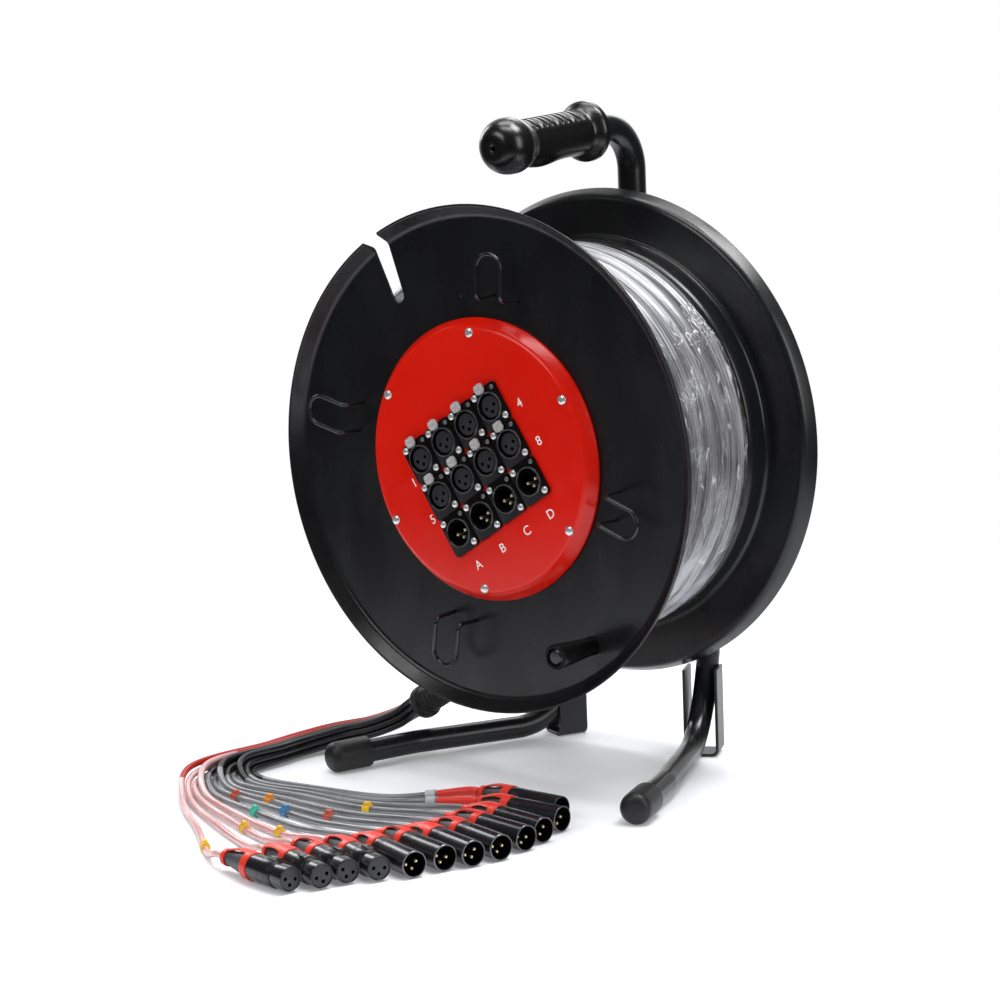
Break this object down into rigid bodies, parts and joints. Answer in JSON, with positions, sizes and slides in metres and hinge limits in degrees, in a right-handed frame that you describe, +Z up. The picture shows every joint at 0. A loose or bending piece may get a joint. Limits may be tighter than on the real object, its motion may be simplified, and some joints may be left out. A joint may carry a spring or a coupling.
{
  "type": "stage box snake",
  "caption": "Microphone multicore snake wound on a steel drum with crank, grip and stand; socket panel on the drum, cable plugs on the tails.",
  "frame": {"origin": "on the floor, under the middle of the reel's box without the loose cable", "axes": "+Z up, -Y the way that the connector panel faces, +X to the right of someone facing the panel; the drum's axis is along Y"},
  "size_m": [0.4123, 0.497, 0.5104],
  "materials": {
    "black_enamel": "satin black stove enamel",
    "black_rubber": "matte black rubber",
    "bright_metal": "bright plated steel",
    "grey_jacket": "grey soft vinyl jacket",
    "black_plastic": "satin black moulding",
    "red_lacquer": "gloss red lacquer",
    "black_metal": "smooth black plated metal"
  },
  "bodies": {
    "stand": {"frame_upright": "black_enamel", "frame_hoop": "black_enamel", "leg_left": "black_enamel", "leg_right": "black_enamel", "rear_bracket_left": "black_enamel", "rear_bracket_right": "black_enamel", "foot_cap_left": "black_rubber", "foot_cap_right": "black_rubber", "handle_grip": "black_rubber", "axle": "bright_metal", "axle_collar": "bright_metal", "trunk_cable": "grey_jacket", "breakout_boot": "black_rubber", "breakout_tails": "grey_jacket", "return_plug_a": "black_metal", "return_plug_b": "black_metal", "return_plug_c": "black_metal", "return_plug_d": "black_metal", "send_plug_1": "black_metal", "send_plug_2": "black_metal", "send_plug_3": "black_metal", "send_plug_4": "black_metal", "send_plug_5": "black_metal", "send_plug_6": "black_metal", "send_plug_7": "black_metal", "send_plug_8": "black_metal"},
    "drum": {"front_flange": "black_enamel", "rear_flange": "black_enamel", "drum_core": "black_enamel", "cable_inner_layers": "grey_jacket", "cable_outer_layer": "grey_jacket", "hub_bearing": "black_plastic", "connector_panel": "red_lacquer", "input_1": "black_plastic", "input_2": "black_plastic", "input_3": "black_plastic", "input_4": "black_plastic", "input_5": "black_plastic", "input_6": "black_plastic", "input_7": "black_plastic", "input_8": "black_plastic", "return_a": "black_plastic", "return_b": "black_plastic", "return_c": "black_plastic", "return_d": "black_plastic", "wire_hook_1": "black_metal", "wire_hook_2": "black_metal", "wire_hook_3": "black_metal", "wire_hook_4": "black_metal", "crank_stud": "bright_metal"},
    "crank_knob": {"crank_knob": "black_plastic"},
    "push_tab_1": {"push_tab_1": "bright_metal"},
    "push_tab_2": {"push_tab_2": "bright_metal"},
    "push_tab_3": {"push_tab_3": "bright_metal"},
    "push_tab_4": {"push_tab_4": "bright_metal"},
    "push_tab_5": {"push_tab_5": "bright_metal"},
    "push_tab_6": {"push_tab_6": "bright_metal"},
    "push_tab_7": {"push_tab_7": "bright_metal"},
    "push_tab_8": {"push_tab_8": "bright_metal"}
  },
  "joints": [
    {"name": "drum_spin", "type": "hinge", "parent": "stand", "child": "drum", "pos_m": [0, -0.0095, 0.253], "axis": [0, 1, 0], "continuous": true},
    {"name": "crank_knob_spin", "type": "hinge", "parent": "drum", "child": "crank_knob", "pos_m": [0.09241, -0.1045, 0.12152], "axis": [0, 1, 0], "continuous": true},
    {"name": "push_tab_1_press", "type": "slide", "parent": "drum", "child": "push_tab_1", "axis": [0, 1, 0], "range_m": [0, 0.0012], "stiffness_N_per_m": 400, "springref_m": -0.001},
    {"name": "push_tab_2_press", "type": "slide", "parent": "drum", "child": "push_tab_2", "axis": [0, 1, 0], "range_m": [0, 0.0012], "stiffness_N_per_m": 400, "springref_m": -0.001},
    {"name": "push_tab_3_press", "type": "slide", "parent": "drum", "child": "push_tab_3", "axis": [0, 1, 0], "range_m": [0, 0.0012], "stiffness_N_per_m": 400, "springref_m": -0.001},
    {"name": "push_tab_4_press", "type": "slide", "parent": "drum", "child": "push_tab_4", "axis": [0, 1, 0], "range_m": [0, 0.0012], "stiffness_N_per_m": 400, "springref_m": -0.001},
    {"name": "push_tab_5_press", "type": "slide", "parent": "drum", "child": "push_tab_5", "axis": [0, 1, 0], "range_m": [0, 0.0012], "stiffness_N_per_m": 400, "springref_m": -0.001},
    {"name": "push_tab_6_press", "type": "slide", "parent": "drum", "child": "push_tab_6", "axis": [0, 1, 0], "range_m": [0, 0.0012], "stiffness_N_per_m": 400, "springref_m": -0.001},
    {"name": "push_tab_7_press", "type": "slide", "parent": "drum", "child": "push_tab_7", "axis": [0, 1, 0], "range_m": [0, 0.0012], "stiffness_N_per_m": 400, "springref_m": -0.001},
    {"name": "push_tab_8_press", "type": "slide", "parent": "drum", "child": "push_tab_8", "axis": [0, 1, 0], "range_m": [0, 0.0012], "stiffness_N_per_m": 400, "springref_m": -0.001}
  ]
}
